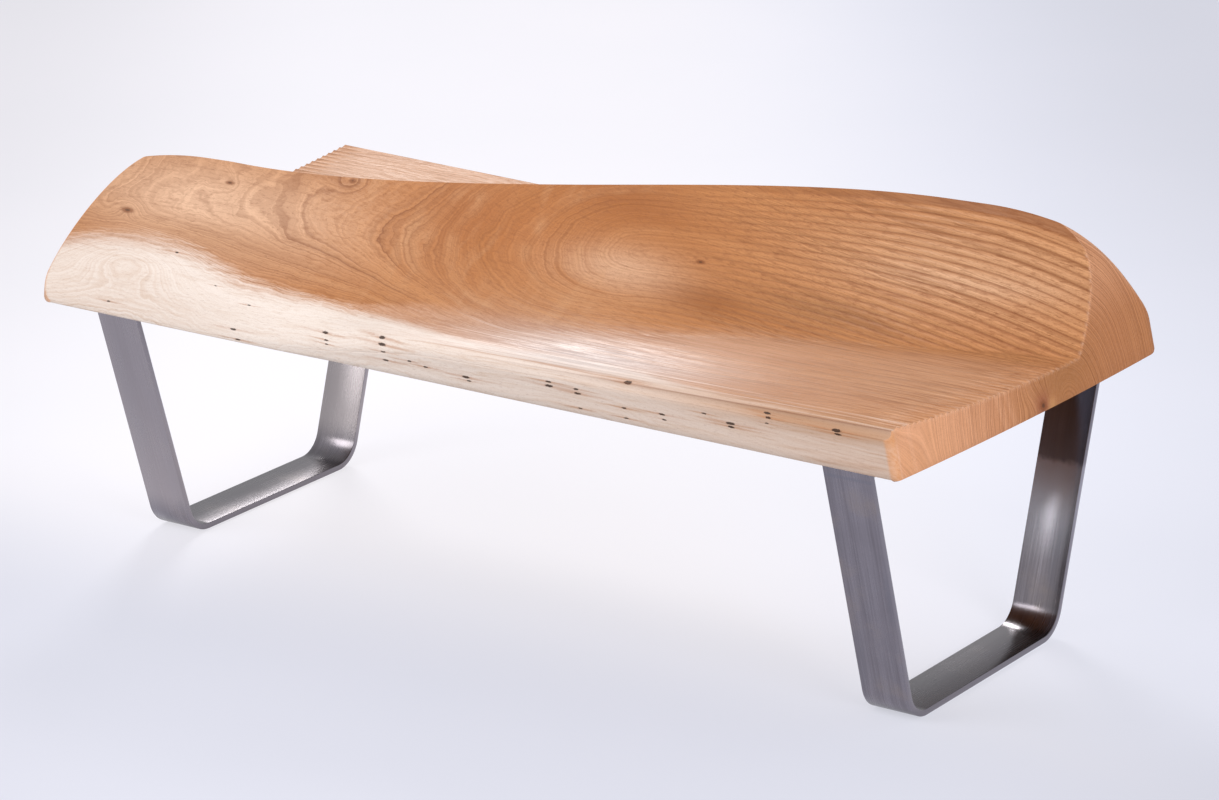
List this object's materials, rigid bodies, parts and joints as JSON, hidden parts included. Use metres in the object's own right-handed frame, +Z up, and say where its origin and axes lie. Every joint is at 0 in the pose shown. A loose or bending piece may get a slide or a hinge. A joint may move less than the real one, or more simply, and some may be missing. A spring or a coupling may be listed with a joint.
{
  "type": "seating bench",
  "caption": "Carved solid-wood bench seat, S-shaped crest between two low grooved seats facing opposite ways, on two bent flat-bar steel frames.",
  "frame": {"origin": "on the floor, under the middle of the bench", "axes": "+X along the bench to the right as seen from the front, +Y from the front to the back, +Z up"},
  "size_m": [1.3168, 0.616, 0.5315],
  "materials": {
    "seat_wood": "oiled hardwood, heartwood and pale sapwood",
    "frame_steel": "bare steel, brushed lengthwise",
    "fixing_steel": "zinc plated",
    "insert_brass": "turned"
  },
  "bodies": {
    "root": {"seat": "seat_wood", "leg_frame_left": "frame_steel", "leg_frame_right": "frame_steel", "top_bar_left": "frame_steel", "top_bar_right": "frame_steel", "screw_left_1": "fixing_steel", "washer_left_1": "fixing_steel", "insert_left_1": "insert_brass", "screw_left_2": "fixing_steel", "washer_left_2": "fixing_steel", "insert_left_2": "insert_brass", "screw_left_3": "fixing_steel", "washer_left_3": "fixing_steel", "insert_left_3": "insert_brass", "screw_left_4": "fixing_steel", "washer_left_4": "fixing_steel", "insert_left_4": "insert_brass", "screw_right_1": "fixing_steel", "washer_right_1": "fixing_steel", "insert_right_1": "insert_brass", "screw_right_2": "fixing_steel", "washer_right_2": "fixing_steel", "insert_right_2": "insert_brass", "screw_right_3": "fixing_steel", "washer_right_3": "fixing_steel", "insert_right_3": "insert_brass", "screw_right_4": "fixing_steel", "washer_right_4": "fixing_steel", "insert_right_4": "insert_brass"}
  },
  "joints": []
}
